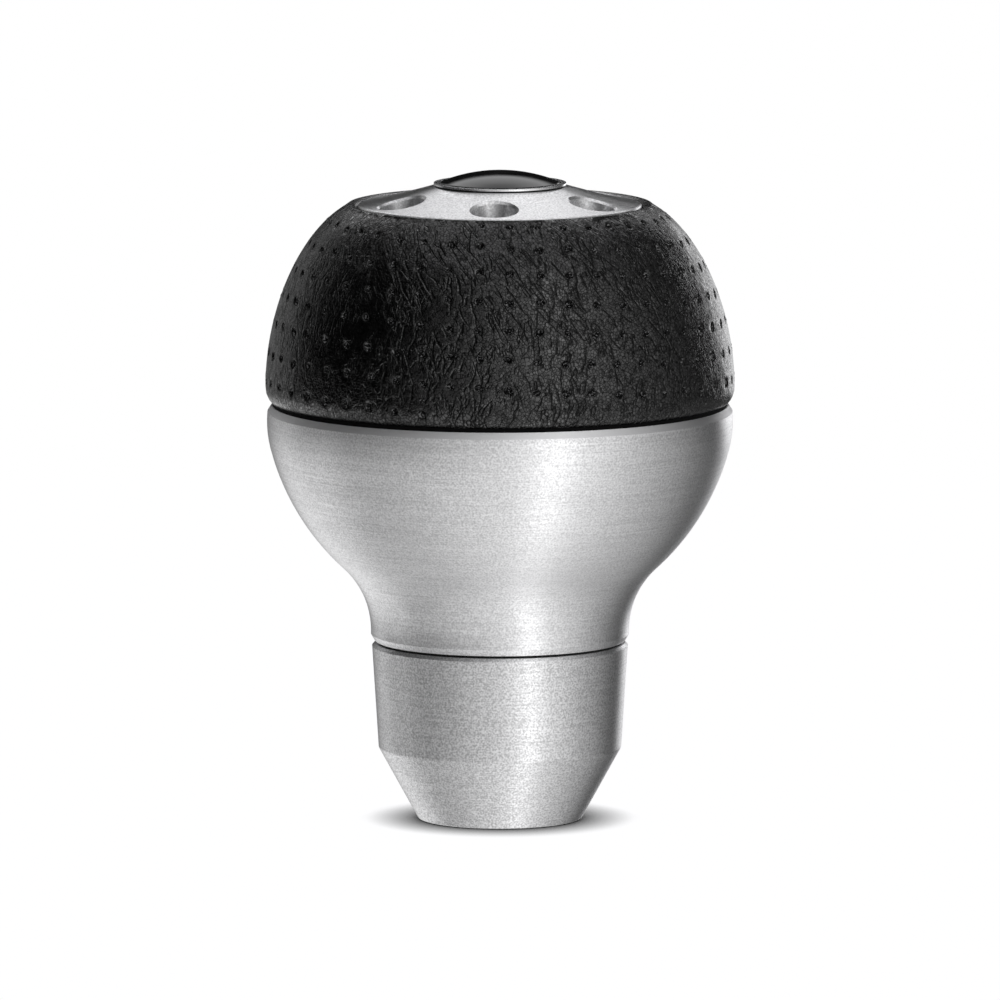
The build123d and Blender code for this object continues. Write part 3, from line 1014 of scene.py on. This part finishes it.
def make_table():
    """Pale round table top, seen white with a painted shadow of the knob close round its foot, and clear from
    below.
    """
    table = stage_mesh("table", bmesh.ops.create_circle, cap_ends=True, segments=96, radius=table_radius)
    for vert in table.data.vertices:
        vert.co.z = -table_drop
    material, tree, output, _ = new_material("table_white")
    seen_straight = tree.nodes.new("ShaderNodeLightPath").outputs["Is Camera Ray"]
    backfacing = tree.nodes.new("ShaderNodeNewGeometry").outputs["Backfacing"]
    # Painted shadow: the white that the camera sees is darkened by ambient occlusion near the knob.
    openness = add_node(tree, "ShaderNodeAmbientOcclusion", {"Distance": shadow_reach}, samples=16)
    lit = spread(tree, openness.outputs["AO"], low=0.25, high=0.85)
    white = add_node(tree, "ShaderNodeEmission", {
        "Color": blend_colours(tree, lit, grey(shadow_dark), grey(1.0)),
    }).outputs[0]
    pale = add_node(tree, "ShaderNodeBsdfDiffuse", {"Color": grey(table_pale)}).outputs[0]
    clear = tree.nodes.new("ShaderNodeBsdfTransparent").outputs[0]
    above = add_node(tree, "ShaderNodeMixShader", {0: seen_straight, 1: pale, 2: white}).outputs[0]
    below = sums(tree, "MULTIPLY", seen_straight, backfacing)
    one_sided = add_node(tree, "ShaderNodeMixShader", {0: below, 1: above, 2: clear}).outputs[0]
    tree.links.new(one_sided, output.inputs["Surface"])
    finish_with(table, material)
    table.visible_glossy = False


make_table()
tent_radius = 2.5
# Light from the tent, as brightness at degrees to the right of the camera's side.
sky_stops = [
    (-180, 0.14), (-165, 0.2), (-145, 0.32), (-130, 0.34), (-124, 0.2), (-116, 0.02), (-60, 0.015),
    (-45, 0.08), (-30, 0.25), (-20, 0.38), (-10, 0.5), (0, 0.66), (10, 0.9), (20, 1.1), (27, 1.6),
    (33, 1.6), (40, 1.15), (50, 1.0), (60, 0.85), (70, 0.68), (80, 0.48), (90, 0.36), (100, 0.26),
    (110, 0.17), (120, 0.1), (130, 0.06), (150, 0.05), (180, 0.12),
]
level_stops = [
    (-180, 0.7), (-165, 1.05), (-140, 1.1), (-120, 1.1), (-110, 1.15), (-96, 1.15), (-92, 0.86),
    (-80, 0.88), (-60, 0.96), (-40, 1.0), (-20, 1.0), (0, 0.92), (10, 0.94), (20, 1.02), (30, 1.5),
    (40, 0.95), (50, 0.78), (60, 0.66), (80, 0.54), (100, 0.42), (120, 0.27), (140, 0.14), (165, 0.1),
    (180, 0.9),
]
ground_stops = [
    (-180, 0.6), (-170, 0.85), (-150, 0.78), (-130, 0.65), (-110, 0.46), (-95, 0.43), (-80, 0.5),
    (-60, 0.68), (-40, 0.84), (-20, 0.94), (0, 0.98), (20, 1.08), (27, 2.0), (33, 2.0), (40, 1.12),
    (60, 0.98), (80, 0.8), (100, 0.62), (120, 0.46), (140, 0.36), (160, 0.3), (180, 0.45),
]
# Where one light fades into the next, in degrees: heights above the level, turns to the right.
level_heights = (-42.0, -26.0)
sky_heights = (-16.0, -8.0)
dim_glow = 0.05
dim_heights = (20.0, 34.0)
dim_turns = (-90.0, -115.0)
top_glow = 0.8
top_heights = (48.0, 68.0)
overhead_glow = 1.6
overhead_turns = (146.0, 158.0)
overhead_foot = (20.0, 30.0)
overhead_head = (60.0, 42.0)
panel_glow = 1.75
panel_turn = radians(166.0)
panel_half_turn = radians(26.0)
panel_level = 0.06093
panel_half_level = 0.21489
panel_edge = (1.08, 0.86)
panel_fade = (178.0, 155.0)
panel_faded = 0.4
card_way = (-0.02, 0.978, 0.208)
card_glow = 0.01
card_edge = (17.0, 11.0)


def light_ramp(tree, turn, stops):
    """Brightness by direction: (degrees to the right of the camera's side, brightness) stops."""
    ramp = add_node(tree, "ShaderNodeValToRGB", {
        "Fac": sums(tree, "MULTIPLY_ADD", turn, 1.0 / (2 * pi), 0.5),
    })
    points = ramp.color_ramp.elements
    while len(points) < len(stops):
        points.new(0.5)
    for point, (degrees, level) in zip(points, stops):
        point.position = degrees / 360.0 + 0.5
        point.color = (level, level, level, 1.0)
    return ramp.outputs["Color"]


def by_height(tree, level, start, end):
    """0 to 1 from one height to another, in degrees above the level."""
    return spread(tree, level, low=sin(radians(start)), high=sin(radians(end)))


def by_turn(tree, turn, start, end, **levels):
    """0 to 1, or between other levels, from one direction to another in degrees."""
    return spread(tree, turn, low=radians(start), high=radians(end), **levels)


def from_middle(tree, value, middle, half):
    """Distance of a value from a middle, in half widths."""
    return sums(tree, "DIVIDE", sums(tree, "SUBTRACT", value, middle), half)


def make_tent():
    """Light tent that glows by direction: ground, level and sky, a lit top, two panels and a dark card."""
    tent = stage_mesh("tent", bmesh.ops.create_uvsphere, u_segments=96, v_segments=48, radius=tent_radius)
    material, tree, output, place = new_material("tent_glow")
    way = vectors(tree, "NORMALIZE", place)
    apart = parts_of(tree, way)
    up = apart["Z"]
    turn = sums(tree, "ARCTAN2", apart["X"], sums(tree, "MULTIPLY", apart["Y"], -1.0))
    ground, level, sky = (light_ramp(tree, turn, stops) for stops in (ground_stops, level_stops, sky_stops))
    lit = blend_colours(tree, by_height(tree, up, *level_heights), ground, level)
    lit = blend_colours(tree, by_height(tree, up, *sky_heights), lit, sky)
    dim = sums(tree, "MULTIPLY", by_height(tree, up, *dim_heights), by_turn(tree, turn, *dim_turns))
    lit = blend_colours(tree, dim, lit, grey(dim_glow))
    lit = blend_colours(tree, by_height(tree, up, *top_heights), lit, grey(top_glow))
    overhead = by_turn(tree, sums(tree, "ABSOLUTE", turn), *overhead_turns)
    for edge in (overhead_foot, overhead_head):
        overhead = sums(tree, "MULTIPLY", overhead, by_height(tree, up, *edge))
    lit = blend_colours(tree, overhead, lit, grey(overhead_glow))
    oval = vector_of(
        tree,
        X=from_middle(tree, turn, panel_turn, panel_half_turn),
        Y=from_middle(tree, up, panel_level, panel_half_level),
    )
    panel = sums(
        tree,
        "MULTIPLY",
        spread(tree, vectors(tree, "LENGTH", oval), *panel_edge),
        by_turn(tree, turn, *panel_fade, to_low=panel_faded),
    )
    lit = blend_colours(tree, panel, lit, grey(panel_glow))
    card = vectors(tree, "DOT_PRODUCT", way, card_way)
    carded = spread(tree, card, *(cos(radians(edge)) for edge in card_edge))
    lit = blend_colours(tree, carded, lit, grey(card_glow))
    glow = add_node(tree, "ShaderNodeEmission", {"Color": lit})
    tree.links.new(glow.outputs[0], output.inputs["Surface"])
    finish_with(tent, material)
    tent.visible_camera = False


make_tent()


def make_white_world():
    """Plain white behind everything, at a strength of one."""
    world = bpy.data.worlds.new("white")
    scene.world = world
    world.use_nodes = True
    tree = world.node_tree
    tree.nodes.clear()
    output = tree.nodes.new("ShaderNodeOutputWorld")
    background = add_node(tree, "ShaderNodeBackground", {"Color": (1.0, 1.0, 1.0, 1.0), "Strength": 1.0})
    tree.links.new(background.outputs[0], output.inputs["Surface"])


make_white_world()
camera_lens = 635.0
camera_reach = 10.0
camera_distance = 1.96
camera_rise = radians(7.4)
camera_aim = Vector((0.0, 0.0, 35.6 * mm))


def make_camera():
    """Long lens a little above the knob, square on to its front."""
    lens = bpy.data.cameras.new("camera")
    lens.lens = camera_lens
    lens.clip_end = camera_reach
    camera = bpy.data.objects.new("camera", lens)
    scene.collection.objects.link(camera)
    camera.location = camera_aim + camera_distance * Vector((0.0, -cos(camera_rise), sin(camera_rise)))
    camera.rotation_euler = (pi / 2 - camera_rise, 0.0, 0.0)
    scene.camera = camera


make_camera()
